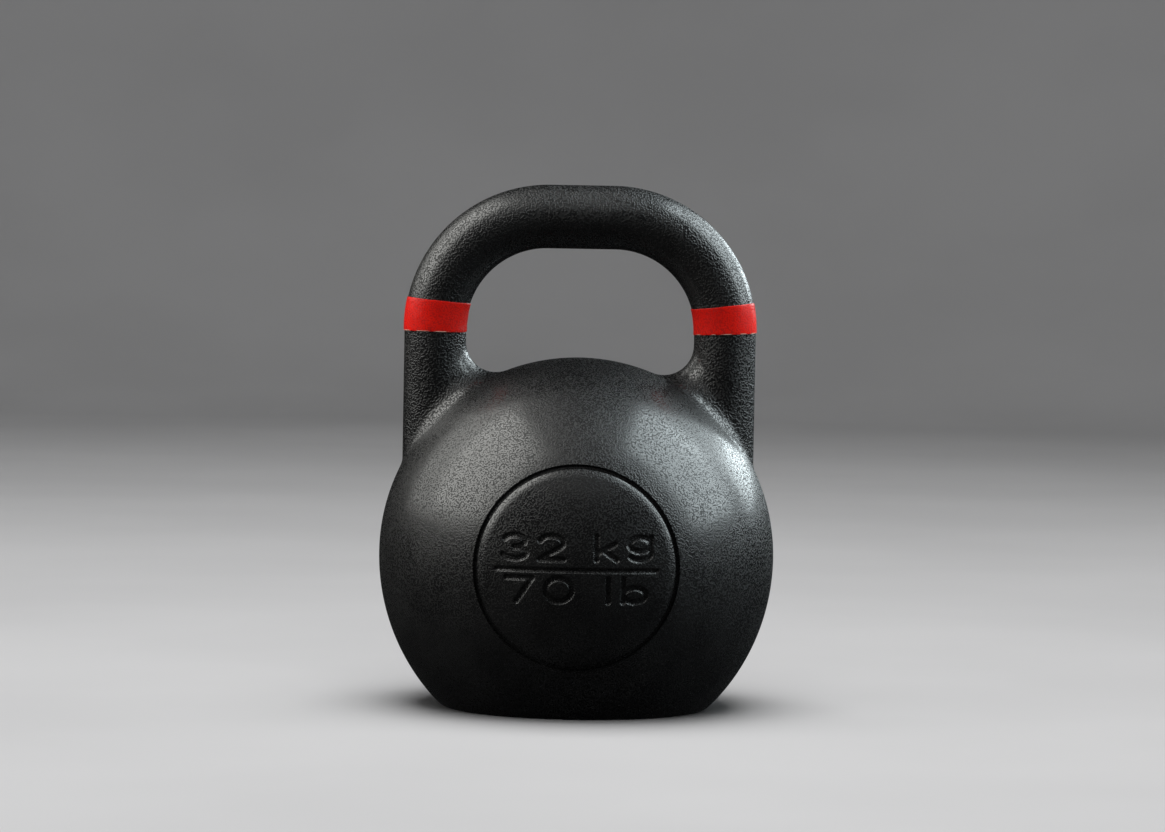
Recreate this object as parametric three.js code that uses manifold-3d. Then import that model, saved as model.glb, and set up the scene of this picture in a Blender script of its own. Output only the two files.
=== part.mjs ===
// Competition kettlebell: a hollow iron ball with a flat base, a round-bar handle, a colour band
// on each side of the handle, a plug in the base and the potted shot that trims its weight.
// Millimetres, +Z up, origin at the centre of the flat base, weight mark facing -Y.
import * as THREE from "three";
import { mergeVertices } from "three/addons/utils/BufferGeometryUtils.js";
import Module from "manifold-3d";

// Ball
const BALL_RADIUS = 105;
const BALL_CENTRE_Z = 80.7;
const LOWER_DEPTH = 109.8; // vertical half-axis of the ball below its middle
const BASE_EDGE_HEIGHT = 4.8; // rounded edge round the flat base
const BASE_EDGE_WIDTH = 5.7;
const CAVITY_RADIUS = 50.8;
const CAVITY_CENTRE_Z = 78;

// Handle
const HEIGHT = 277.3; // floor to the top of the handle
const BAR_RADIUS = 16.9; // at the straight top
const HORN_RADIUS = 16.4; // below the bends
const BAR_STRAIGHT = 34.7; // straight top of the handle, between its bends
const BEND_RADIUS = 59.7; // of the bar's centreline
const FILLET_MEAN = 13; // where a horn runs into the ball, halfway round
const FILLET_SWING = 3; // added on the hand side, taken off on the outside
const FOOT_EDGE = 0.6; // thickness of the fillet's rim

// Colour bands: where their edges cross the horn's centreline, and how far they rise outwards
const BAND_THICKNESS = 0.45;
const BAND_LOW_Z = 199;
const BAND_LOW_TILT = 1.8; // degrees
const BAND_HIGH_Z = 214.9;
const BAND_HIGH_TILT = 6; // degrees

// Groove round the front and back discs, and the weight mark inside the front one
const RING_RADIUS = 52; // middle of the groove
const RING_WIDTH = 2.4;
const RING_DEPTH = 1.4;
const MARK_DEPTH = 1.1;
const MARK_STROKE = 2.6;
const MARK_HEIGHT = 12; // of a character's centreline
const MARK_BAR_Z = -0.4; // heights in the mark are from the ball's middle
const MARK_BAR_LENGTH = 84;
const MARK_BAR_WIDTH = 2.4;
const MARK_GAP = 0.5; // between characters, in shares of their height
const MARK_SPACE = 0.8;

// Base plug and trimming shot
const PLUG_RADIUS = 17.7;
const PLUG_THICKNESS = 12;
const PLUG_CHAMFER = 1;
const PLUG_RECESS = 1.5; // of the plug's face above the floor
const NECK_RADIUS = 13; // core hole from the plug's seat into the cavity
const SHOT_TOP_Z = 34;
const GAP = 0.3; // between touching pieces
const SHOT_GAP = 1; // between the shot and the cavity, whose facets cut its corners

// Facets
const BALL_SECTORS = 60;
const UPPER_STEPS = 13;
const LOWER_STEPS = 7;
const CAVITY_STEPS = 10;
const PLUG_SECTORS = 48;
const BAR_SIDES = 28;
const BEND_STEPS = 10;
const FILLET_STEPS = 5;
const FOOT_STEPS = 4;

const DEGREE = Math.PI / 180;
const HORN_X = BAR_STRAIGHT / 2 + BEND_RADIUS;
const BEND_CENTRE_Z = HEIGHT - BAR_RADIUS - BEND_RADIUS;
const BALL_CENTRE = new THREE.Vector3(0, 0, BALL_CENTRE_Z);

const COAT = { color: 0x1b1b1c, roughness: 0.5, metalness: 0.1 };
const RED = { color: 0xc8201a, roughness: 0.45, metalness: 0 };
const STEEL = { color: 0x5c5d60, roughness: 0.45, metalness: 0.9 };
const IRON = { color: 0x55565a, roughness: 0.8, metalness: 0.7 };

const wasm = await Module();
wasm.setup();

function solid(geometry) {
  const bare = geometry.index ? geometry.toNonIndexed() : geometry.clone();
  bare.deleteAttribute("normal");
  bare.deleteAttribute("uv");
  const merged = mergeVertices(bare, 1e-4);
  const mesh = new wasm.Mesh({
    numProp: 3,
    vertProperties: merged.attributes.position.array,
    triVerts: new Uint32Array(merged.index.array),
  });
  return new wasm.Manifold(mesh);
}

function geometryOf(manifold) {
  const mesh = manifold.getMesh();
  const geometry = new THREE.BufferGeometry();
  geometry.setAttribute("position", new THREE.BufferAttribute(mesh.vertProperties, 3));
  geometry.setIndex(new THREE.BufferAttribute(mesh.triVerts, 1));
  return geometry;
}

// An arc of an ellipse with its middle at (cx, cz), between two angles in degrees.
function arc(cx, cz, rx, rz, from, to, steps) {
  return Array.from({ length: steps + 1 }, (_, i) => {
    const a = (from + ((to - from) * i) / steps) * DEGREE;
    return new THREE.Vector2(cx + rx * Math.cos(a), cz + rz * Math.sin(a));
  });
}

// A solid of revolution about +Z, from a (radius, height) profile that runs upwards outside.
function turned(profile, sectors) {
  return new THREE.LatheGeometry(profile, sectors).rotateX(90 * DEGREE);
}

// The ball's radius at a height below its middle.
function lowerRadius(z) {
  return BALL_RADIUS * Math.sqrt(1 - ((BALL_CENTRE_Z - z) / LOWER_DEPTH) ** 2);
}

// The outside of the ball: rounded base edge, deep lower half, spherical upper half.
function ballOutline() {
  const edgeTop = Math.asin((BASE_EDGE_HEIGHT - BALL_CENTRE_Z) / LOWER_DEPTH) / DEGREE;
  const edgeRadius = lowerRadius(BASE_EDGE_HEIGHT);
  const edge = new THREE.QuadraticBezierCurve(
    new THREE.Vector2(edgeRadius - BASE_EDGE_WIDTH, 0),
    new THREE.Vector2(lowerRadius(0), 0),
    new THREE.Vector2(edgeRadius, BASE_EDGE_HEIGHT),
  ).getPoints(4);
  const lower = arc(0, BALL_CENTRE_Z, BALL_RADIUS, LOWER_DEPTH, edgeTop, 0, LOWER_STEPS);
  const upper = arc(0, BALL_CENTRE_Z, BALL_RADIUS, BALL_RADIUS, 0, 90, UPPER_STEPS);
  upper[UPPER_STEPS].x = 0;
  return [...edge.slice(0, -1), ...lower.slice(0, -1), ...upper];
}

// A round groove in the ball about the Y axis, facing -Y (side -1) or +Y (side 1).
function ringGroove(side) {
  const inner = RING_RADIUS - RING_WIDTH / 2;
  const outer = RING_RADIUS + RING_WIDTH / 2;
  const floor = Math.sqrt(BALL_RADIUS ** 2 - RING_RADIUS ** 2) - RING_DEPTH;
  const section = [
    new THREE.Vector2(inner, floor),
    new THREE.Vector2(outer, floor),
    new THREE.Vector2(outer, BALL_RADIUS),
    new THREE.Vector2(inner, BALL_RADIUS),
    new THREE.Vector2(inner, floor),
  ];
  const groove = turned(section, BALL_SECTORS).rotateX(-side * 90 * DEGREE);
  return solid(groove.translate(0, 0, BALL_CENTRE_Z));
}

// Round and straight stretches of a character's centreline, in shares of its height.
function bow(cx, cz, rx, rz, from, to) {
  return arc(cx, cz, rx, rz, from, to, Math.ceil(Math.abs(to - from) / 32));
}

function line(...numbers) {
  return Array.from({ length: numbers.length / 2 }, (_, i) => {
    return new THREE.Vector2(numbers[2 * i], numbers[2 * i + 1]);
  });
}

// Plain single-line characters: how wide each is, and its strokes from the baseline up.
const CHARACTERS = {
  3: {
    width: 0.95,
    strokes: [[...bow(0.46, 0.75, 0.4, 0.25, 160, -90), ...bow(0.46, 0.25, 0.47, 0.25, 90, -160)]],
  },
  2: {
    width: 0.95,
    strokes: [[...bow(0.47, 0.7, 0.46, 0.3, 165, -38), ...line(0, 0, 0.95, 0)]],
  },
  7: { width: 0.95, strokes: [line(0, 1, 0.95, 1, 0.38, 0)] },
  0: { width: 1, strokes: [bow(0.5, 0.5, 0.5, 0.5, 0, 360)] },
  k: { width: 0.8, strokes: [line(0, 0, 0, 1), line(0.72, 0.68, 0, 0.27), line(0.26, 0.42, 0.8, 0)] },
  g: {
    width: 0.84,
    strokes: [
      bow(0.42, 0.67, 0.42, 0.3, 0, 360),
      [...line(0.84, 0.97, 0.84, 0.27), ...bow(0.42, 0.26, 0.42, 0.26, 0, -150)],
    ],
  },
  l: { width: 0.12, strokes: [line(0.06, 1, 0.06, 0)] },
  b: { width: 0.84, strokes: [line(0, 1, 0, 0), bow(0.42, 0.31, 0.42, 0.31, 0, 360)] },
};
const ROWS = [
  { text: "32 kg", baseline: 5, stretch: 1.08 },
  { text: "70 lb", baseline: -16.6, stretch: 1.14 },
];

// One straight piece of a stroke, a bar with round ends, cut through to the ball's middle.
function strokePiece(a, b, width) {
  const along = Math.atan2(b.y - a.y, b.x - a.x);
  const outline = new THREE.Shape();
  outline.absarc(b.x, b.y, width / 2, along - Math.PI / 2, along + Math.PI / 2, false);
  outline.absarc(a.x, a.y, width / 2, along + Math.PI / 2, along + 1.5 * Math.PI, false);
  const form = { depth: BALL_RADIUS, bevelEnabled: false, curveSegments: 3 };
  const piece = new THREE.ExtrudeGeometry(outline, form).rotateX(90 * DEGREE);
  return solid(piece.translate(0, 0, BALL_CENTRE_Z));
}

// The strokes of one row of characters, centred and stretched sideways, as pieces to be cut.
function rowPieces(row) {
  const advance = (c) => (c === " " ? MARK_SPACE : CHARACTERS[c].width + MARK_GAP);
  const length = [...row.text].reduce((sum, c) => sum + advance(c), -MARK_GAP);
  const pieces = [];
  let start = -length / 2;
  for (const c of row.text) {
    for (const stroke of CHARACTERS[c]?.strokes ?? []) {
      const path = stroke.map((p) => {
        const x = (start + p.x) * MARK_HEIGHT * row.stretch;
        return new THREE.Vector2(x, row.baseline + p.y * MARK_HEIGHT);
      });
      for (let i = 0; i + 1 < path.length; i++) {
        if (path[i].distanceTo(path[i + 1]) < GAP) continue;
        pieces.push(strokePiece(path[i], path[i + 1], MARK_STROKE));
      }
    }
    start += advance(c);
  }
  return pieces;
}

// The weight mark: two rows of characters with a bar between them, cut to an even depth.
function markCutter() {
  const end = new THREE.Vector2((MARK_BAR_LENGTH - MARK_BAR_WIDTH) / 2, MARK_BAR_Z);
  const bar = strokePiece(new THREE.Vector2(-end.x, end.y), end, MARK_BAR_WIDTH);
  const whole = wasm.Manifold.union([bar, ...ROWS.flatMap(rowPieces)]);
  const core = new THREE.SphereGeometry(BALL_RADIUS - MARK_DEPTH, 40, 20);
  return whole.subtract(solid(core.translate(0, 0, BALL_CENTRE_Z)));
}

function bell() {
  const seatZ = PLUG_RECESS + PLUG_THICKNESS + GAP;
  const neckAngle = -Math.acos(NECK_RADIUS / CAVITY_RADIUS) / DEGREE;
  const cavity = arc(0, CAVITY_CENTRE_Z, CAVITY_RADIUS, CAVITY_RADIUS, 90, neckAngle, CAVITY_STEPS);
  cavity[0].x = 0;
  const profile = [
    ...cavity,
    new THREE.Vector2(NECK_RADIUS, seatZ),
    new THREE.Vector2(PLUG_RADIUS + GAP, seatZ),
    new THREE.Vector2(PLUG_RADIUS + GAP, 0),
    ...ballOutline(),
  ];
  const body = solid(turned(profile, BALL_SECTORS));
  return body.subtract(ringGroove(-1)).subtract(ringGroove(1)).subtract(markCutter());
}

// A closed surface through rings of equal point counts, with a point at each end.
function loft(first, rings, last) {
  const points = [first, ...rings.flat(), last];
  const sides = rings[0].length;
  const index = [];
  const at = (ring, side) => 1 + ring * sides + (side % sides);
  for (let s = 0; s < sides; s++) {
    index.push(0, at(0, s + 1), at(0, s));
    for (let r = 0; r + 1 < rings.length; r++) {
      index.push(at(r, s), at(r, s + 1), at(r + 1, s));
      index.push(at(r, s + 1), at(r + 1, s + 1), at(r + 1, s));
    }
    index.push(at(rings.length - 1, s), at(rings.length - 1, s + 1), points.length - 1);
  }
  const geometry = new THREE.BufferGeometry().setFromPoints(points);
  geometry.setIndex(index);
  return geometry;
}

// Stations along the bar's centreline from the right horn, over the top, to the left horn. Each
// has its middle and the direction of its outer side, both in the plane y = 0, and its radius.
function barStations(lowest) {
  const station = (x, z, angle) => {
    const inBend = Math.min(1, Math.max(0, (Math.abs(x) - BAR_STRAIGHT / 2) / BEND_RADIUS));
    return {
      middle: new THREE.Vector3(x, 0, z),
      outer: new THREE.Vector3(Math.cos(angle), 0, Math.sin(angle)),
      radius: BAR_RADIUS + (HORN_RADIUS - BAR_RADIUS) * inBend,
    };
  };
  const bend = (side) => {
    return Array.from({ length: BEND_STEPS + 1 }, (_, i) => {
      const a = (i / BEND_STEPS + (side < 0 ? 1 : 0)) * 90 * DEGREE;
      const x = (side * BAR_STRAIGHT) / 2 + BEND_RADIUS * Math.cos(a);
      return station(x, BEND_CENTRE_Z + BEND_RADIUS * Math.sin(a), a);
    });
  };
  const ends = lowest < BEND_CENTRE_Z ? [lowest] : [];
  const right = ends.map((z) => station(HORN_X, z, 0));
  const left = ends.map((z) => station(-HORN_X, z, 180 * DEGREE));
  return [...right, ...bend(1), ...bend(-1), ...left];
}

function barRing(station, extra) {
  const radius = station.radius + extra;
  return Array.from({ length: BAR_SIDES }, (_, i) => {
    const a = (i / BAR_SIDES) * 360 * DEGREE;
    const across = station.outer.clone().multiplyScalar(radius * Math.cos(a));
    return station.middle.clone().add(across).add(new THREE.Vector3(0, radius * Math.sin(a), 0));
  });
}

// The handle's bar alone, a little thicker, with flat ends below the bends.
function thickBar(extra, lowest) {
  const stations = barStations(lowest);
  const rings = stations.map((station) => barRing(station, extra));
  return solid(loft(stations[0].middle, rings, stations[stations.length - 1].middle));
}

// A horn's foot, from its seat on the ball up to the plain bar. A small ball of the fillet's
// radius rolls round the corner between the horn and the ball, and the foot follows its surface.
function foot(side) {
  const seat = BALL_RADIUS + GAP;
  const onSeat = (x, y) => {
    return new THREE.Vector3(x, y, BALL_CENTRE_Z + Math.sqrt(seat ** 2 - x * x - y * y));
  };
  const axis = new THREE.Vector3(side * HORN_X, 0, 0);
  const rings = Array.from({ length: FOOT_STEPS + FILLET_STEPS + 1 }, () => []);
  for (let i = 0; i < BAR_SIDES; i++) {
    const a = (i / BAR_SIDES) * 360 * DEGREE;
    const away = new THREE.Vector3(side * Math.cos(a), Math.sin(a), 0);
    const fillet = FILLET_MEAN - FILLET_SWING * Math.cos(a);
    const reach = BALL_RADIUS + fillet;
    const roller = away.clone().multiplyScalar(HORN_RADIUS + fillet).add(axis);
    roller.z = BALL_CENTRE_Z + Math.sqrt(reach ** 2 - roller.x ** 2 - roller.y ** 2);
    const toHorn = away.clone().negate();
    const toBall = BALL_CENTRE.clone().sub(roller).normalize();
    const turn = new THREE.Vector3().crossVectors(toHorn, toBall).normalize();
    const rim = Math.sqrt((2 * BALL_RADIUS * (GAP + FOOT_EDGE)) / (fillet * reach));
    const sweep = toHorn.angleTo(toBall) - rim;
    for (let k = 0; k <= FILLET_STEPS; k++) {
      const angle = sweep * (1 - k / FILLET_STEPS);
      const spoke = toHorn.clone().applyAxisAngle(turn, angle).multiplyScalar(fillet);
      rings[FOOT_STEPS + k].push(roller.clone().add(spoke));
    }
    const edge = rings[FOOT_STEPS][i].clone().sub(BALL_CENTRE).setLength(seat);
    for (let k = 0; k < FOOT_STEPS; k++) {
      const share = (k + 1) / FOOT_STEPS;
      rings[k].push(onSeat(axis.x + (edge.x - axis.x) * share, edge.y * share));
    }
  }
  return { tip: onSeat(axis.x, 0), rings };
}

function handle() {
  const right = foot(1);
  const left = foot(-1);
  const bar = barStations(BEND_CENTRE_Z).map((station) => barRing(station, 0));
  const rings = [...right.rings, ...bar, ...left.rings.reverse()];
  return solid(loft(right.tip, rings, left.tip));
}

// The slab between a band's two edges. Each edge rises towards the outside of its horn.
function bandSlab(side) {
  const reach = 2 * HORN_RADIUS;
  const edge = (z, tilt, out) => {
    return new THREE.Vector2(HORN_X + out * reach, z + out * reach * Math.tan(tilt * DEGREE));
  };
  const outline = new THREE.Shape([
    edge(BAND_LOW_Z, BAND_LOW_TILT, -1),
    edge(BAND_LOW_Z, BAND_LOW_TILT, 1),
    edge(BAND_HIGH_Z, BAND_HIGH_TILT, 1),
    edge(BAND_HIGH_Z, BAND_HIGH_TILT, -1),
  ]);
  const slab = new THREE.ExtrudeGeometry(outline, { depth: 2 * reach, bevelEnabled: false });
  slab.translate(0, 0, -reach).rotateX(90 * DEGREE);
  if (side < 0) slab.rotateZ(180 * DEGREE);
  return solid(slab);
}

function band(side) {
  const below = BAND_LOW_Z - HORN_RADIUS;
  const inside = thickBar(GAP, below - 1);
  return thickBar(GAP + BAND_THICKNESS, below).subtract(inside).intersect(bandSlab(side));
}

function corePlug() {
  const top = PLUG_RECESS + PLUG_THICKNESS;
  const profile = [
    new THREE.Vector2(0, PLUG_RECESS),
    new THREE.Vector2(PLUG_RADIUS - PLUG_CHAMFER, PLUG_RECESS),
    new THREE.Vector2(PLUG_RADIUS, PLUG_RECESS + PLUG_CHAMFER),
    new THREE.Vector2(PLUG_RADIUS, top),
    new THREE.Vector2(0, top),
  ];
  return solid(turned(profile, PLUG_SECTORS));
}

function shotFill() {
  const wall = CAVITY_RADIUS - SHOT_GAP;
  const neck = NECK_RADIUS - GAP;
  const low = -Math.acos(neck / wall) / DEGREE;
  const high = Math.asin((SHOT_TOP_Z - CAVITY_CENTRE_Z) / wall) / DEGREE;
  const bottom = PLUG_RECESS + PLUG_THICKNESS + GAP;
  const profile = [
    new THREE.Vector2(0, bottom),
    new THREE.Vector2(neck, bottom),
    ...arc(0, CAVITY_CENTRE_Z, wall, wall, low, high, 4),
    new THREE.Vector2(0, SHOT_TOP_Z),
  ];
  return solid(turned(profile, PLUG_SECTORS));
}

const kettlebell = new THREE.Group();

function add(name, piece, finish) {
  const mesh = new THREE.Mesh(geometryOf(piece), new THREE.MeshStandardMaterial(finish));
  mesh.name = name;
  kettlebell.add(mesh);
}

add("bell", bell(), COAT);
add("handle", handle(), COAT);
add("colour_band_left", band(-1), RED);
add("colour_band_right", band(1), RED);
add("core_plug", corePlug(), STEEL);
add("ballast", shotFill(), IRON);

export default kettlebell;
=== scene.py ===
"""The looks of a competition kettlebell: fine skins for the ball, the handle, the colour bands and
the base plug, materials for these and for the shot inside, and a plain pale floor in soft studio
light. Metres, +Z up, the weight mark facing -Y."""
import math

import bmesh
import bpy
import numpy as np
from mathutils import Matrix, Vector


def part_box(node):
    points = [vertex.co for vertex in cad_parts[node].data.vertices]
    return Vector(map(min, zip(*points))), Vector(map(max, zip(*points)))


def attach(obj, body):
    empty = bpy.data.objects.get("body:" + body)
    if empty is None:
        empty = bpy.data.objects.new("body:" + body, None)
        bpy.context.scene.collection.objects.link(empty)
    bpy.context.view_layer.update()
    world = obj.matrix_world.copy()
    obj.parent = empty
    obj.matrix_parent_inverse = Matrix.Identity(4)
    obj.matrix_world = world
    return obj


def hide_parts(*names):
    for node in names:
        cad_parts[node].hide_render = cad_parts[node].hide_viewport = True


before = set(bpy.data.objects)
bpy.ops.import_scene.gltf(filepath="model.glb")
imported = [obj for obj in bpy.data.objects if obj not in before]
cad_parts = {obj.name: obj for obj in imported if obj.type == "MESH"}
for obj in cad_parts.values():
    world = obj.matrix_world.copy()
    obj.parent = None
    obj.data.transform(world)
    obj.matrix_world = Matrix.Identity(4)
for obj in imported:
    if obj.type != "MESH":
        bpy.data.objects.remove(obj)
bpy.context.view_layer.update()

bell_low, bell_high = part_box("bell")
_, handle_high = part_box("handle")
plug_low, plug_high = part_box("core_plug")

MM = 0.001
FRONT, BACK = -1, 1  # the sides of the ball, by the sign of y
SHARP_ANGLE = math.radians(75)  # between faces that aren't shaded smooth across

# Ball: half a sphere above its middle, and half a deeper ellipsoid below, cut off flat at the base
BALL_RADIUS = (bell_high.x - bell_low.x) / 2
BALL_Z = bell_high.z - BALL_RADIUS
LOWER_DEPTH = 109.8 * MM  # of the ellipsoid, if the base didn't cut it off
BASE_EDGE_HEIGHT = 4.8 * MM
BASE_EDGE_WIDTH = 5.7 * MM
BALL_SECTORS = 240
CAVITY_RADIUS = 50.8 * MM
CAVITY_Z = 78 * MM
NECK_RADIUS = 13 * MM  # of the core hole above the plug
GAP = 0.3 * MM  # between the plug and the ball
LIP = 0.6 * MM  # rounding of the core hole's edges

# Handle
TOP_Z = handle_high.z
BAR_RADIUS = 16.9 * MM
HORN_RADIUS = 16.4 * MM
BAR_STRAIGHT = 34.7 * MM
BEND_RADIUS = 59.7 * MM
HORN_X = BAR_STRAIGHT / 2 + BEND_RADIUS
BEND_Z = TOP_Z - BAR_RADIUS - BEND_RADIUS
FILLET_MEAN = 13 * MM  # radius at a foot's front and back
FILLET_SWING = 3 * MM  # wider on the inner side of a foot, and tighter on the outer side
FOOT_SINK = 0.4 * MM  # how deep the foot's rim ends under the ball's skin
FOOT_LAP = (3 * MM, 2 * MM, 1 * MM)  # how far the foot's hidden rings lie past the fillet
BAR_SIDES = 128
BEND_RINGS = 80
FILLET_RINGS = 19

# Front and back discs: a flatter face with a rounded rim inside a groove
DISC_RADIUS = 125 * MM  # of curvature
RIM_START = 47.3 * MM
RIM_DROP = 0.55 * MM
GROOVE_INNER = 50.7 * MM
GROOVE_OUTER = 53.3 * MM
GROOVE_WALL = 0.55 * MM
GROOVE_DEPTH = 1.5 * MM
RIM_STEP = 0.4 * MM  # between rings of the mesh on the rim
GROOVE_STEP = 0.14 * MM  # and in the groove
PATCH_RADIUS = 56.4 * MM  # of the finely meshed round
PATCH_POINTS = 150  # round its edge
WINDOW_RADIUS = 57.8 * MM  # cleared of the ball's coarser faces for it

# Weight mark, in heights from the ball's middle
MARK_DEPTH = 1.15 * MM
MARK_SOFT = 0.27 * MM  # half the width of a stroke's sloping wall
MARK_STROKE = 2.6 * MM
MARK_HEIGHT = 12 * MM
MARK_BAR_Z = -0.4 * MM
MARK_BAR_LENGTH = 84 * MM
MARK_BAR_WIDTH = 2.2 * MM
MARK_ROWS = (("32 kg", 5 * MM, 1.08), ("70 lb", -16.6 * MM, 1.14))  # text, baseline and stretch
MARK_GAP = 0.5  # between characters, as a share of their height
MARK_SPACE = 0.8
MARK_GRID_WIDTH = 80.4 * MM  # of the finely meshed oblong
MARK_GRID_LOW = -19.8 * MM
MARK_GRID_HIGH = 20 * MM
MARK_GRID_CELLS = {FRONT: (200, 100), BACK: (100, 50)}  # across and up

# Colour bands, by side: the heights where the lower and the upper edge cross the horn's middle,
# each with its tilt in degrees
BAND_EDGES = {
    "left": ((198.5 * MM, 0.9), (215.2 * MM, 5.4)),
    "right": ((199.6 * MM, 2.6), (214.6 * MM, 6.6)),
}
BAND_THICKNESS = 0.45 * MM
BAND_ROUNDING = 0.45 * MM  # width of the rounded strip along each edge
BAND_WAVER = 0.12 * MM
BAND_SECTORS = 160
SIDES = {"left": -1, "right": 1}

# Grain of the coat and the bands: the width of a pebble, and its height
BALL_GRAIN = (0.88 * MM, 0.07 * MM)
BAR_GRAIN = (1.06 * MM, 0.12 * MM)
BAND_GRAIN = (0.88 * MM, 0.04 * MM)

# Plug
PLUG_CHAMFER = 1 * MM
PLUG_SECTORS = 96
CENTRE_MARK_RADIUS = 1.3 * MM
TOOL_RING_HEIGHT = 0.05 * MM
TOOL_RINGS = 20

# Stage
FLOOR_RADIUS = 3.2  # of its flat part
FLOOR_SECTORS = 96
SWEEP = 1.5  # radius of the curve from the floor up into the wall
WALL_HEIGHT = 4

LIGHT_AIM_Z = 0.12  # height that the lights face
WHITE = (1.0, 1.0, 1.0)
COOL = (0.86, 0.97, 1.0)
WARM = (1.0, 1.0, 0.96)

# Camera, with its angles in degrees and its lens in millimetres
CAMERA_PLACE = (-6.62 * MM, -2.4, 0.2655)
CAMERA_PITCH = 2.646
CAMERA_ROLL = 1.035
CAMERA_YAW = 0.207
SENSOR_WIDTH = 36
FOCAL_LENGTH = 139.42


class Skin:
    """Points and faces gathered for one closed mesh."""

    def __init__(self):
        self.points = []
        self.faces = []

    def add(self, points):
        """Adds points and returns their numbers."""
        first = len(self.points)
        self.points.extend(tuple(p) for p in points)
        return list(range(first, len(self.points)))

    def join(self, a, b):
        """Faces between two closed rings, where b has as many points as a, or half as many."""
        count = len(b)
        for i in range(count):
            j = (i + 1) % count
            if len(a) == count:
                self.faces.append((a[i], a[j], b[j], b[i]))
            else:
                self.faces.append((a[2 * i], a[2 * i + 1], b[i]))
                self.faces.append((a[2 * i + 1], b[j], b[i]))
                self.faces.append((a[2 * i + 1], a[2 * j], b[j]))

    def extend(self, ring, points):
        """Adds a ring, joins it to the last one and returns it."""
        new = self.add(points)
        self.join(ring, new)
        return new

    def cap(self, ring, tip):
        """Closes a ring with a fan of faces round one point."""
        apex = self.add([tip])[0]
        self.faces.extend((ring[i - 1], ring[i], apex) for i in range(len(ring)))

    def stitch(self, a, b, angle):
        """Faces between two closed rings of unlike counts, both running round by rising angle. The
        next face is always the one with the shorter new edge."""
        a, b = (ring + ring[:1] for ring in (rolled(a, angle), rolled(b, angle)))
        last_a, last_b = len(a) - 1, len(b) - 1

        def across(i, j):
            return math.dist(self.points[a[i]], self.points[b[j]])

        i = j = 0
        while i < last_a or j < last_b:
            if j == last_b or (i < last_a and across(i + 1, j) < across(i, j + 1)):
                self.faces.append((a[i], a[i + 1], b[j]))
                i += 1
            else:
                self.faces.append((a[i], b[j + 1], b[j]))
                j += 1

    def build(self, name, material):
        """The mesh object, without the points that no face uses, riding on the only body."""
        used = sorted({i for face in self.faces for i in face})
        place = {old: new for new, old in enumerate(used)}
        mesh = bpy.data.meshes.new(name)
        faces = [tuple(place[i] for i in face) for face in self.faces]
        mesh.from_pydata([self.points[i] for i in used], [], faces)
        form = bmesh.new()
        form.from_mesh(mesh)
        bmesh.ops.recalc_face_normals(form, faces=form.faces)
        form.to_mesh(mesh)
        form.free()
        mesh.shade_smooth()
        mesh.set_sharp_from_angle(angle=SHARP_ANGLE)
        mesh.materials.append(material)
        piece = bpy.data.objects.new(name, mesh)
        bpy.context.scene.collection.objects.link(piece)
        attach(piece, "root")
        return piece


def rolled(ring, angle):
    """The ring started at its smallest angle and run by rising angle."""
    start = min(range(len(ring)), key=lambda i: angle(ring[i]))
    ring = ring[start:] + ring[:start]
    return ring if angle(ring[1]) < angle(ring[-1]) else ring[:1] + ring[:0:-1]


def smooth(low, high, value):
    """From 0 at low to 1 at high, level at both ends."""
    t = np.clip((value - low) / (high - low), 0, 1)
    return t * t * (3 - 2 * t)


def arc(cx, cz, rx, rz, start, end, steps):
    """Points along an arc of an ellipse, between two angles in degrees."""
    angles = np.radians(np.linspace(start, end, steps + 1))
    return [(cx + rx * math.cos(a), cz + rz * math.sin(a)) for a in angles]


def turns(count):
    """Equal steps of one whole turn."""
    return [2 * math.pi * i / count for i in range(count)]


def circle(radius, z, count):
    """A level ring about the Z axis."""
    return [(radius * math.cos(a), radius * math.sin(a), z) for a in turns(count)]


# ---------------------------------------------------------------- ball


def ball_radius(z):
    """The ball's radius about the Z axis at a height."""
    rise = z - BALL_Z
    depth = np.where(rise < 0, LOWER_DEPTH, BALL_RADIUS)
    return BALL_RADIUS * np.sqrt(np.maximum(0, 1 - (rise / depth) ** 2))


def ball_profile():
    """(radius, height) up the outside of the ball, from the base's flat to its top."""
    edge = float(ball_radius(BASE_EDGE_HEIGHT))
    corner = float(ball_radius(0.0))
    low = math.degrees(math.asin((BASE_EDGE_HEIGHT - BALL_Z) / LOWER_DEPTH))
    profile = []
    for t in np.linspace(0, 1, 10)[:-1]:
        a, b, c = (1 - t) ** 2, 2 * t * (1 - t), t * t
        radius = a * (edge - BASE_EDGE_WIDTH) + b * corner + c * edge
        profile.append((radius, c * BASE_EDGE_HEIGHT))
    profile += arc(0, BALL_Z, BALL_RADIUS, LOWER_DEPTH, low, 0, 30)[:-1]
    profile += arc(0, BALL_Z, BALL_RADIUS, BALL_RADIUS, 0, 88, 44)
    return profile


def core_hole_profile():
    """(radius, height) from the cavity's top, down the core hole and out over the base's flat."""
    seat = plug_high.z + GAP
    wall = plug_high.x + GAP
    neck_angle = -math.degrees(math.acos(NECK_RADIUS / CAVITY_RADIUS))
    profile = arc(0, CAVITY_Z, CAVITY_RADIUS, CAVITY_RADIUS, 86, neck_angle, 36)
    profile += [(NECK_RADIUS, seat + LIP)]
    profile += arc(NECK_RADIUS + LIP, seat + LIP, LIP, LIP, 180, 270, 3)[1:]
    profile += [(wall - LIP, seat), (wall, seat), (wall, seat - LIP), (wall, 2 * LIP)]
    profile += arc(wall + LIP, LIP, LIP, LIP, 180, 270, 4)
    flat_edge = float(ball_radius(BASE_EDGE_HEIGHT)) - BASE_EDGE_WIDTH
    profile += [(wall + (flat_edge - wall) * t, 0) for t in (0.15, 0.35, 0.55, 0.75, 0.92)]
    return profile


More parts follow.
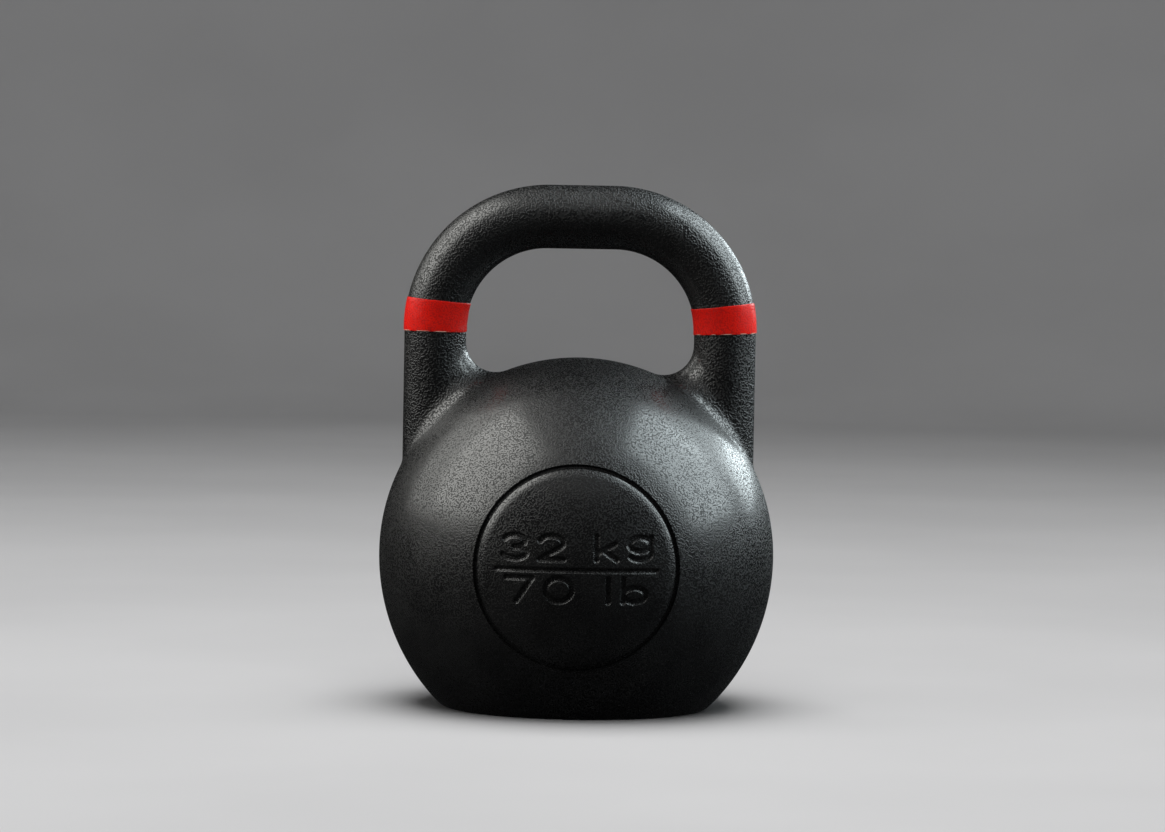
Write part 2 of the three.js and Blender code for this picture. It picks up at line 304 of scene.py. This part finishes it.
def strokes():
    """The weight mark's centrelines, about the disc's middle. Each is a start, an end and half a
    width. A character is 1 high, and has its width and its paths."""

    def bow(cx, cz, rx, rz, start, end):
        return arc(cx, cz, rx, rz, start, end, math.ceil(abs(end - start) / 10))

    def line(*numbers):
        return list(zip(numbers[::2], numbers[1::2]))

    characters = {
        "3": (0.95, [bow(0.46, 0.75, 0.4, 0.25, 160, -90) + bow(0.46, 0.25, 0.47, 0.25, 90, -160)]),
        "2": (0.95, [bow(0.47, 0.7, 0.46, 0.3, 165, -38) + line(0, 0, 0.95, 0)]),
        "7": (0.95, [line(0, 1, 0.95, 1, 0.38, 0)]),
        "0": (1, [bow(0.5, 0.5, 0.5, 0.5, 0, 360)]),
        "k": (0.8, [line(0, 0, 0, 1), line(0.72, 0.68, 0, 0.27), line(0.26, 0.42, 0.8, 0)]),
        "g": (
            0.84,
            [
                bow(0.42, 0.67, 0.42, 0.3, 0, 360),
                line(0.84, 0.97, 0.84, 0.27) + bow(0.42, 0.26, 0.42, 0.26, 0, -150),
            ],
        ),
        "l": (0.12, [line(0.06, 1, 0.06, 0)]),
        "b": (0.84, [line(0, 1, 0, 0), bow(0.42, 0.31, 0.42, 0.31, 0, 360)]),
    }
    bar_end = (MARK_BAR_LENGTH - MARK_BAR_WIDTH) / 2
    pieces = [(-bar_end, MARK_BAR_Z, bar_end, MARK_BAR_Z, MARK_BAR_WIDTH / 2)]
    for text, baseline, stretch in MARK_ROWS:
        advance = [MARK_SPACE if c == " " else characters[c][0] + MARK_GAP for c in text]
        start = (MARK_GAP - sum(advance)) / 2
        wide = MARK_HEIGHT * stretch
        for c, step in zip(text, advance):
            for path in characters.get(c, (0, []))[1]:
                path = [((start + x) * wide, baseline + z * MARK_HEIGHT) for x, z in path]
                pieces += [(*a, *b, MARK_STROKE / 2) for a, b in zip(path, path[1:])]
            start += step
    return pieces


def mark_offset(x, w):
    """How deep the weight mark is cut at a place on the front disc."""
    nearest = np.full(np.shape(x), 1.0)
    for x0, w0, x1, w1, half in strokes():
        dx, dw = x1 - x0, w1 - w0
        along = np.clip(((x - x0) * dx + (w - w0) * dw) / max(dx * dx + dw * dw, 1e-12), 0, 1)
        nearest = np.minimum(nearest, np.hypot(x - x0 - along * dx, w - w0 - along * dw) - half)
    return MARK_DEPTH * (1 - smooth(-MARK_SOFT, MARK_SOFT, nearest))


def disc_offset(r):
    """How far a disc and its groove lie under the ball's round, at a distance from the middle."""
    inside = np.minimum(r, RIM_START)

    def crown(radius):
        return np.sqrt(radius**2 - inside**2) - math.sqrt(radius**2 - RIM_START**2)

    flatter = crown(BALL_RADIUS) - crown(DISC_RADIUS)
    rim = RIM_DROP * np.clip((r - RIM_START) / (GROOVE_INNER - RIM_START), 0, 1) ** 2
    groove = GROOVE_DEPTH * smooth(GROOVE_INNER, GROOVE_INNER + GROOVE_WALL, r)
    return flatter + (rim + groove) * (1 - smooth(GROOVE_OUTER - GROOVE_WALL, GROOVE_OUTER, r))


def disc_points(flat, side):
    """Places on a disc's plane, moved out to the ball's face on one side."""
    x, w = np.array(flat).T
    z = BALL_Z + w
    depth = np.sqrt(ball_radius(z) ** 2 - x**2) - disc_offset(np.hypot(x, w))
    if side == FRONT:
        depth -= mark_offset(x, w)
    return np.column_stack([x, side * depth, z])


def disc(skin, side):
    """A finely meshed disc with its rim and groove: an oblong grid in the middle, for the mark, and
    rings round it. Returns its outermost ring."""
    across, up = MARK_GRID_CELLS[side]
    xs = np.linspace(-MARK_GRID_WIDTH / 2, MARK_GRID_WIDTH / 2, across + 1)
    ws = np.linspace(MARK_GRID_LOW, MARK_GRID_HIGH, up + 1)
    grid = np.array(skin.add(disc_points([(x, w) for w in ws for x in xs], side)))
    grid = grid.reshape(up + 1, across + 1).tolist()
    for low, high in zip(grid, grid[1:]):
        skin.faces.extend(zip(low, low[1:], high[1:], high))
    ring = grid[0][:-1] + [row[-1] for row in grid[:-1]]
    ring += grid[-1][:0:-1] + [row[0] for row in grid[:0:-1]]
    edge = np.array([(skin.points[i][0], skin.points[i][2] - BALL_Z) for i in ring])
    outward = edge / np.linalg.norm(edge, axis=1)[:, None]
    for share in np.linspace(0, 1, 15)[1:]:
        flat = edge + (outward * (RIM_START - MM) - edge) * share
        ring = skin.extend(ring, disc_points(flat, side))
    fine = np.arange(GROOVE_INNER - 0.2 * MM, GROOVE_OUTER + 0.3 * MM, GROOVE_STEP)
    radii = [*np.arange(RIM_START - 0.5 * MM, fine[0] - 0.2 * MM, RIM_STEP), *fine]
    for radius in radii:
        ring = skin.extend(ring, disc_points(outward * radius, side))
    for radius in (radii[-1] + (PATCH_RADIUS - radii[-1]) * 0.4, PATCH_RADIUS):
        if len(ring) > PATCH_POINTS:
            outward = outward[::2]
        ring = skin.extend(ring, disc_points(outward * radius, side))
    return ring


def bell_skin(material):
    """The cavity, the core hole, the base and the ball, with a window on the front and on the back
    that a disc fills."""
    skin = Skin()
    hole = core_hole_profile()
    ring = skin.add(circle(*hole[0], BALL_SECTORS))
    skin.cap(ring, (0, 0, CAVITY_Z + CAVITY_RADIUS))
    for radius, z in hole[1:]:
        ring = skin.extend(ring, circle(radius, z, BALL_SECTORS))
    profile = ball_profile()
    rings = [ring] + [skin.add(circle(radius, z, BALL_SECTORS)) for radius, z in profile]

    def bearing(i):
        x, _, z = skin.points[i]
        return math.atan2(z - BALL_Z, x) % (2 * math.pi)

    def window_side(i):
        x, y, z = skin.points[i]
        return math.hypot(x, z - BALL_Z) < WINDOW_RADIUS and math.copysign(1, y)

    edges = {FRONT: set(), BACK: set()}
    for low, high in zip(rings, rings[1:]):
        for i in range(BALL_SECTORS):
            j = (i + 1) % BALL_SECTORS
            face = (low[i], low[j], high[j], high[i])
            sides = {window_side(k) for k in face} - {False}
            if not sides:
                skin.faces.append(face)
                continue
            around = zip(face, face[1:] + face[:1])
            edges[sides.pop()].symmetric_difference_update((max(p), min(p)) for p in around)
    skin.cap(rings[-1], (0, 0, BALL_Z + BALL_RADIUS))
    for side in (FRONT, BACK):
        loop = sorted({i for pair in edges[side] for i in pair}, key=bearing)
        skin.stitch(loop, disc(skin, side), bearing)
    return skin.build("bell_skin", material)


# ---------------------------------------------------------------- handle and bands


def bar_point(travel, turn, extra=0.0):
    """A point on the right half of the bar's surface, or extra outside it. travel runs up the horn
    from where its bend starts, and turn goes round the bar from its outer side."""
    bent = min(max(travel / BEND_RADIUS, 0), math.pi / 2)
    past = max(0, travel - BEND_RADIUS * math.pi / 2)
    x = HORN_X - BEND_RADIUS + BEND_RADIUS * math.cos(bent) - past
    z = BEND_Z + BEND_RADIUS * math.sin(bent) + min(travel, 0)
    inward = (HORN_X - x) / BEND_RADIUS
    radius = HORN_RADIUS + (BAR_RADIUS - HORN_RADIUS) * min(1, inward) + extra
    out = radius * math.cos(turn)
    return (x + out * math.cos(bent), radius * math.sin(turn), z + out * math.sin(bent))


def foot_lines():
    """For each direction round the right horn, points from under the ball's skin up the fillet to
    where it meets the plain horn. A ball of the fillet's radius rolls round the corner."""
    centre = Vector((0, 0, BALL_Z))
    lines = []
    for turn in turns(BAR_SIDES):
        away = Vector((math.cos(turn), math.sin(turn), 0))
        fillet = FILLET_MEAN - FILLET_SWING * math.cos(turn)
        reach = BALL_RADIUS + fillet
        roller = Vector((HORN_X, 0, 0)) + away * (HORN_RADIUS + fillet)
        roller.z = BALL_Z + math.sqrt(reach**2 - roller.x**2 - roller.y**2)
        to_ball = (centre - roller).normalized()
        to_horn = -away
        sweep = to_horn.angle(to_ball)
        axis = to_horn.cross(to_ball).normalized()
        contact = roller + to_ball * fillet
        tangent = axis.cross(to_ball)
        line = []
        for lap in FOOT_LAP:
            run = contact + tangent * lap
            sunk = BALL_RADIUS - FOOT_SINK * (lap / FOOT_LAP[0]) ** 2
            line.append(centre + (run - centre).normalized() * sunk)
        for angle in np.linspace(sweep, 0, FILLET_RINGS):
            line.append(roller + (Matrix.Rotation(angle, 3, axis) @ to_horn) * fillet)
        top = line[-1]
        for share in np.linspace(0, 1, 14)[1:-1]:
            line.append(Vector((top.x, top.y, top.z + (BEND_Z - top.z) * share)))
        lines.append(line)
    return lines


def handle_skin(material):
    """One tube from under the ball's skin, up one horn, along the bar and down the other."""
    skin = Skin()
    feet = [list(ring) for ring in zip(*foot_lines())]
    bend_length = BEND_RADIUS * math.pi / 2
    travels = [*np.linspace(0, bend_length, BEND_RINGS), bend_length + BAR_STRAIGHT / 4]
    right = feet + [[bar_point(t, a) for a in turns(BAR_SIDES)] for t in travels]
    middle = [[bar_point(bend_length + BAR_STRAIGHT / 2, a) for a in turns(BAR_SIDES)]]
    left = [[(-x, y, z) for x, y, z in ring] for ring in reversed(right)]
    rings = right + middle + left
    bottom = (HORN_X, 0, BALL_Z + math.sqrt(BALL_RADIUS**2 - HORN_X**2) - FOOT_SINK)
    ring = skin.add(rings[0])
    skin.cap(ring, bottom)
    for points in rings[1:]:
        ring = skin.extend(ring, points)
    skin.cap(ring, (-bottom[0], 0, bottom[2]))
    return skin.build("handle_skin", material)


def band_travel(height, tilt, turn):
    """How far up the horn a band's tilted edge crosses its surface, found by halving."""
    low, high = -10 * MM, 40 * MM
    for _ in range(24):
        middle = (low + high) / 2
        x, _, z = bar_point(middle, turn)
        if z < height + (x - HORN_X) * math.tan(math.radians(tilt)):
            low = middle
        else:
            high = middle
    return low


def band_skin(name, material):
    """A thin sleeve round the bar, with rounded and slightly uneven edges. Its inner face is one
    straight strip from edge to edge, which on the inside of the bend comes through the outer face
    by up to 0.15 mm."""
    side = SIDES[name]
    (low_height, low_tilt), (high_height, high_tilt) = BAND_EDGES[name]
    # Distances in from an edge in roundings, with the height there in thicknesses
    rounding = [(0, -0.1), (0, 0.55), (0.3, 0.88), (1, 1.0)]
    lines = []
    for turn in turns(BAND_SECTORS):
        waver = BAND_WAVER * (math.sin(3 * turn + side) + 0.6 * math.sin(7 * turn + 2 * side)) / 1.6
        low = band_travel(low_height + waver, low_tilt, turn)
        high = band_travel(high_height - 0.7 * waver, high_tilt, turn)
        section = [(low + inset * BAND_ROUNDING, lift) for inset, lift in rounding]
        flat = np.linspace(low + BAND_ROUNDING, high - BAND_ROUNDING, 13)[1:-1]
        section += [(travel, 1.0) for travel in flat]
        section += [(high - inset * BAND_ROUNDING, lift) for inset, lift in reversed(rounding)]
        points = [bar_point(travel, turn, lift * BAND_THICKNESS) for travel, lift in section]
        lines.append([(side * x, y, z) for x, y, z in points])
    skin = Skin()
    rings = [skin.add(ring) for ring in zip(*lines)]
    for a, b in zip(rings, rings[1:] + rings[:1]):
        skin.join(a, b)
    return skin.build(f"colour_band_{name}_skin", material)


# ---------------------------------------------------------------- plug


def plug_skin(material):
    """A turned disc: chamfered edge, faint tool rings and a centre mark on its outer face."""
    skin = Skin()
    radius = plug_high.x
    flat_edge = radius - PLUG_CHAMFER
    profile = [(0.4 * MM, 0.5 * MM), (0.9 * MM, 0.15 * MM), (CENTRE_MARK_RADIUS, 0)]
    for share in np.linspace(0, 1, 3 * TOOL_RINGS + 1)[1:-1]:
        r = CENTRE_MARK_RADIUS + (flat_edge - CENTRE_MARK_RADIUS) * share
        wave = (1 - math.cos(2 * math.pi * TOOL_RINGS * share)) / 2
        profile.append((r, TOOL_RING_HEIGHT * wave))
    profile += [(flat_edge, 0), (radius - 0.5 * PLUG_CHAMFER, 0.45 * PLUG_CHAMFER)]
    profile += [(radius, PLUG_CHAMFER)]
    profile = [(r, plug_low.z + z) for r, z in profile]
    profile += [(radius, plug_high.z - 0.3 * MM), (radius - 0.3 * MM, plug_high.z)]
    profile += [(radius * 0.5, plug_high.z)]
    ring = skin.add(circle(*profile[0], PLUG_SECTORS))
    skin.cap(ring, (0, 0, profile[0][1]))
    for r, z in profile[1:]:
        ring = skin.extend(ring, circle(r, z, PLUG_SECTORS))
    skin.cap(ring, (0, 0, plug_high.z))
    return skin.build("core_plug_skin", material)


# ---------------------------------------------------------------- materials


class Material:
    """A node material round one Principled shader, with its textures placed in the object's own
    coordinates. In noise, size is about the width of one feature."""

    def __init__(self, name):
        self.made = bpy.data.materials.new(name)
        self.made.use_nodes = True
        self.tree = self.made.node_tree
        self.shader = self.tree.nodes["Principled BSDF"]
        self.place = self.node("ShaderNodeTexCoord").outputs["Object"]

    def node(self, kind, inputs=(), **settings):
        node = self.tree.nodes.new(kind)
        for name, value in settings.items():
            setattr(node, name, value)
        for key, value in dict(inputs).items():
            self.put(node.inputs[key], value)
        return node

    def put(self, socket, value):
        """Links an output to the socket, or sets its value."""
        if isinstance(value, bpy.types.NodeSocket):
            self.tree.links.new(value, socket)
        else:
            socket.default_value = value

    def noise(self, size, detail):
        inputs = {"Vector": self.place, "Scale": 1 / size, "Detail": detail}
        return self.node("ShaderNodeTexNoise", inputs).outputs["Fac"]

    def cells(self, size):
        inputs = {"Vector": self.place, "Scale": 1 / size}
        return self.node("ShaderNodeTexVoronoi", inputs).outputs["Distance"]

    def ramp(self, value, low, high, out_low=0.0, out_high=1.0):
        """A smooth step between two numbers, as value goes from low to high."""
        inputs = {0: value, 1: low, 2: high, 3: out_low, 4: out_high}
        node = self.node("ShaderNodeMapRange", inputs, interpolation_type="SMOOTHSTEP")
        return node.outputs[0]

    def math(self, operation, *values):
        return self.node("ShaderNodeMath", enumerate(values), operation=operation).outputs[0]

    def mix(self, share, a, b):
        node = self.node("ShaderNodeMix", data_type="RGBA")
        self.put(node.inputs["Factor"], share)
        self.put(node.inputs["A"], a)
        self.put(node.inputs["B"], b)
        return node.outputs["Result"]

    def bump(self, height, distance, normal=None):
        inputs = {"Height": height, "Distance": distance, "Strength": 1.0}
        if normal is not None:
            inputs["Normal"] = normal
        return self.node("ShaderNodeBump", inputs).outputs["Normal"]

    def set(self, **values):
        names = {
            "colour": "Base Color",
            "roughness": "Roughness",
            "metallic": "Metallic",
            "normal": "Normal",
            "specular": "Specular IOR Level",
        }
        for key, value in values.items():
            self.put(self.shader.inputs[names[key]], value)


def leather_grain(m, pebble):
    """Small pebbles with flat tops at 1, and pits between them at 0."""
    return m.ramp(m.cells(pebble), 0.44, 0.76, 1.0, 0.0)


def coat_material(name, pebble, height):
    """Black powder coat: glossy pebbles, with dull pits between them that are painted darker as
    shade.
    """
    m = Material(name)
    grain = leather_grain(m, pebble)
    fine = m.noise(0.3 * MM, detail=1.0)
    cloud = m.noise(22 * MM, detail=3.0)
    base = m.mix(m.ramp(cloud, 0.3, 0.7), (0.005, 0.005, 0.0052, 1), (0.008, 0.008, 0.0082, 1))
    # The pits are painted darker than the pebbles. This is painted shade in the hollows, not a
    # colour of the coat.
    colour = m.mix(grain, (0.0015, 0.0015, 0.0016, 1), base)
    rough = m.math("ADD", m.ramp(cloud, 0.3, 0.7, -0.02, 0.03), m.ramp(grain, 0, 0.8, 0.6, 0.2))
    normal = m.bump(grain, height, m.bump(fine, 0.006 * MM))
    m.set(colour=colour, roughness=rough, normal=normal, specular=0.5)
    return m.made


def lower_edge_highlight(m, height, tilt):
    """Where a pale highlight is painted along a band's lower edge, from 0 to 1, in short stretches.
    """
    x, y, z = m.node("ShaderNodeSeparateXYZ", {0: m.place}).outputs
    out = m.math("SUBTRACT", m.math("ABSOLUTE", x), HORN_X)
    rise = m.math("MULTIPLY", out, math.tan(math.radians(tilt)))
    above = m.math("SUBTRACT", m.math("SUBTRACT", z, rise), height)
    line = m.ramp(above, 0.2 * MM, 0.55 * MM, 1.0, 0.0)
    return m.math("MULTIPLY", line, m.ramp(m.noise(5 * MM, detail=2.0), 0.42, 0.58))


def red_material(side):
    """Red vinyl that follows the grain under it. Its pits carry painted shade, and its lower edge
    carries a painted highlight.
    """
    m = Material(f"red_vinyl_{side}")
    pebble, height = BAND_GRAIN
    grain = leather_grain(m, pebble)
    cloud = m.noise(9 * MM, detail=3.0)
    base = m.mix(m.ramp(cloud, 0.3, 0.7), (0.47, 0.0042, 0.0012, 1), (0.56, 0.0062, 0.0016, 1))
    # The pits are painted a darker red. This is painted shade in the hollows of the grain.
    film_with_pit_shade = m.mix(grain, (0.36, 0.0027, 0.001, 1), base)
    low_height, low_tilt = BAND_EDGES[side][0]
    # This pale colour is a painted highlight along the lower edge, where light catches the band's
    # thickness.
    colour = m.mix(lower_edge_highlight(m, low_height, low_tilt), film_with_pit_shade, (0.62, 0.42, 0.34, 1))
    rough = m.math("ADD", m.ramp(cloud, 0.3, 0.7, -0.03, 0.04), m.ramp(grain, 0, 1, 0.6, 0.3))
    m.set(colour=colour, roughness=rough, normal=m.bump(grain, height), specular=0.14)
    return m.made


def steel_material():
    m = Material("blackened_steel")
    cloud = m.noise(6 * MM, detail=4.0)
    fine = m.noise(0.3 * MM, detail=2.0)
    colour = m.mix(m.ramp(cloud, 0.35, 0.65), (0.13, 0.13, 0.135, 1), (0.22, 0.215, 0.21, 1))
    rough = m.ramp(cloud, 0.3, 0.7, 0.35, 0.5)
    m.set(colour=colour, metallic=1.0, roughness=rough, normal=m.bump(fine, 0.02 * MM))
    return m.made


def shot_material():
    m = Material("iron_shot_in_resin")
    dome = m.ramp(m.cells(3 * MM), 0.0, 0.6, 1.0, 0.0)
    colour = m.mix(dome, (0.03, 0.022, 0.016, 1), (0.17, 0.165, 0.16, 1))
    rough = m.ramp(dome, 0, 1, 0.7, 0.4)
    m.set(colour=colour, metallic=0.7, roughness=rough, normal=m.bump(dome, 0.8 * MM))
    return m.made


def floor_material():
    m = Material("pale_floor")
    cloud = m.noise(0.4, detail=3.0)
    colour = m.mix(m.ramp(cloud, 0.3, 0.7), (0.60, 0.60, 0.605, 1), (0.64, 0.64, 0.645, 1))
    m.set(colour=colour, roughness=0.75)
    return m.made


# ---------------------------------------------------------------- stage


def add_camera():
    pitch, roll, yaw = (math.radians(a) for a in (CAMERA_PITCH, CAMERA_ROLL, CAMERA_YAW))
    forward = Vector(
        (math.sin(yaw) * math.cos(pitch), math.cos(yaw) * math.cos(pitch), -math.sin(pitch))
    )
    right = Vector((math.cos(yaw), -math.sin(yaw), 0))
    up = right.cross(forward)
    lean = Matrix.Rotation(-roll, 3, forward)
    axes = Matrix((lean @ right, lean @ up, -forward)).transposed()
    data = bpy.data.cameras.new("camera")
    data.sensor_width = SENSOR_WIDTH
    data.lens = FOCAL_LENGTH
    data.clip_end = 50
    camera = bpy.data.objects.new("camera", data)
    camera.matrix_world = Matrix.Translation(CAMERA_PLACE) @ axes.to_4x4()
    bpy.context.scene.collection.objects.link(camera)
    bpy.context.scene.camera = camera


def add_light(name, direction, distance, size, radiance, receivers, colour=WHITE, lean=0):
    """A flat rectangular light that faces the kettlebell and falls only on the receivers, a
    collection. direction is its bearing, in degrees from +X towards +Y, and its elevation. radiance
    is how bright its face looks, and lean turns the rectangle in its own plane."""
    bearing, elevation = (math.radians(a) for a in direction)
    level = math.cos(elevation)
    away = Vector((math.cos(bearing) * level, math.sin(bearing) * level, math.sin(elevation)))
    data = bpy.data.lights.new(name, "AREA")
    data.shape = "RECTANGLE"
    data.size, data.size_y = size
    data.energy = radiance * math.pi * size[0] * size[1]
    data.color = colour
    light = bpy.data.objects.new(name, data)
    place = Vector((0, 0, LIGHT_AIM_Z)) + away * distance
    spin = Matrix.Rotation(math.radians(lean), 3, "Z").to_quaternion()
    turn = away.to_track_quat("Z", "Y") @ spin
    light.matrix_world = Matrix.Translation(place) @ turn.to_matrix().to_4x4()
    light.light_linking.receiver_collection = receivers
    bpy.context.scene.collection.objects.link(light)


def add_floor():
    """A round floor that sweeps up into a plain wall all round."""
    profile = [(0.5, 0), (1.5, 0), (FLOOR_RADIUS, 0)]
    profile += arc(FLOOR_RADIUS, SWEEP, SWEEP, SWEEP, -90, 0, 24)[1:]
    profile += [(FLOOR_RADIUS + SWEEP, WALL_HEIGHT)]
    count = FLOOR_SECTORS
    points = [(0, 0, 0)] + [p for radius, z in profile for p in circle(radius, z, count)]
    faces = [(0, 1 + i, 1 + (i + 1) % count) for i in range(count)]
    for k in range(len(profile) - 1):
        for i in range(count):
            a, b = 1 + count * k + i, 1 + count * k + (i + 1) % count
            faces.append((a, a + count, b + count, b))
    mesh = bpy.data.meshes.new("floor")
    mesh.from_pydata(points, [], faces)
    mesh.shade_smooth()
    mesh.materials.append(floor_material())
    floor = bpy.data.objects.new("floor", mesh)
    bpy.context.scene.collection.objects.link(floor)
    floor.visible_glossy = False  # the coat reflects the lights and not the floor
    return floor


def add_world():
    """A nearly dark room round it all, and a plain view transform."""
    world = bpy.data.worlds.new("studio")
    world.use_nodes = True
    back = world.node_tree.nodes["Background"]
    back.inputs["Color"].default_value = (0.80, 0.82, 0.85, 1)
    back.inputs["Strength"].default_value = 0.012
    bpy.context.scene.world = world
    bpy.context.scene.view_settings.view_transform = "Standard"


def add_lights(lit, ground):
    """Two lights for the floor. For the kettlebell, large soft boxes to its left and right, and
    weak ones in front and above."""
    add_light("overhead", (0, 90), 2.4, (2.2, 2.2), 4.3, ground)
    add_light("backdrop", (270, 48), 3.6, (2.0, 2.0), 2.6, ground)
    add_light("right", (0, 40), 2.0, (1.4, 2.0), 8.4, lit, COOL)
    add_light("right_back", (42, 36), 2.05, (1.6, 1.05), 3.4, lit, COOL, lean=-62)
    add_light("right_low", (51, 16), 2.1, (1.3, 0.55), 6.4, lit, COOL)
    add_light("left", (176, 39), 2.0, (2.4, 2.1), 2.4, lit, WARM)
    add_light("left_front", (194, 43), 1.9, (1.6, 1.8), 3.6, lit, WARM)
    add_light("front", (268, 42), 2.2, (1.6, 0.9), 0.45, lit)
    add_light("above", (210, 76), 1.9, (2.4, 1.6), 0.35, lit)


add_camera()
ball_coat = coat_material("black_powder_coat", *BALL_GRAIN)
bar_coat = coat_material("black_powder_coat_coarse", *BAR_GRAIN)
pieces = [
    (bell_skin(ball_coat), "bell", "coated_iron"),
    (handle_skin(bar_coat), "handle", "coated_iron"),
    (band_skin("left", red_material("left")), "colour_band_left", "red_band"),
    (band_skin("right", red_material("right")), "colour_band_right", "red_band"),
    (plug_skin(steel_material()), "core_plug", "plug_steel"),
]
lit = bpy.data.collections.new("kettlebell")
for piece, node, slot in pieces:
    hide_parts(node)
    lit.objects.link(piece)
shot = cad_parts["ballast"]
shot.data.materials.clear()
shot.data.materials.append(shot_material())

ground = bpy.data.collections.new("ground")
ground.objects.link(add_floor())
add_world()
add_lights(lit, ground)
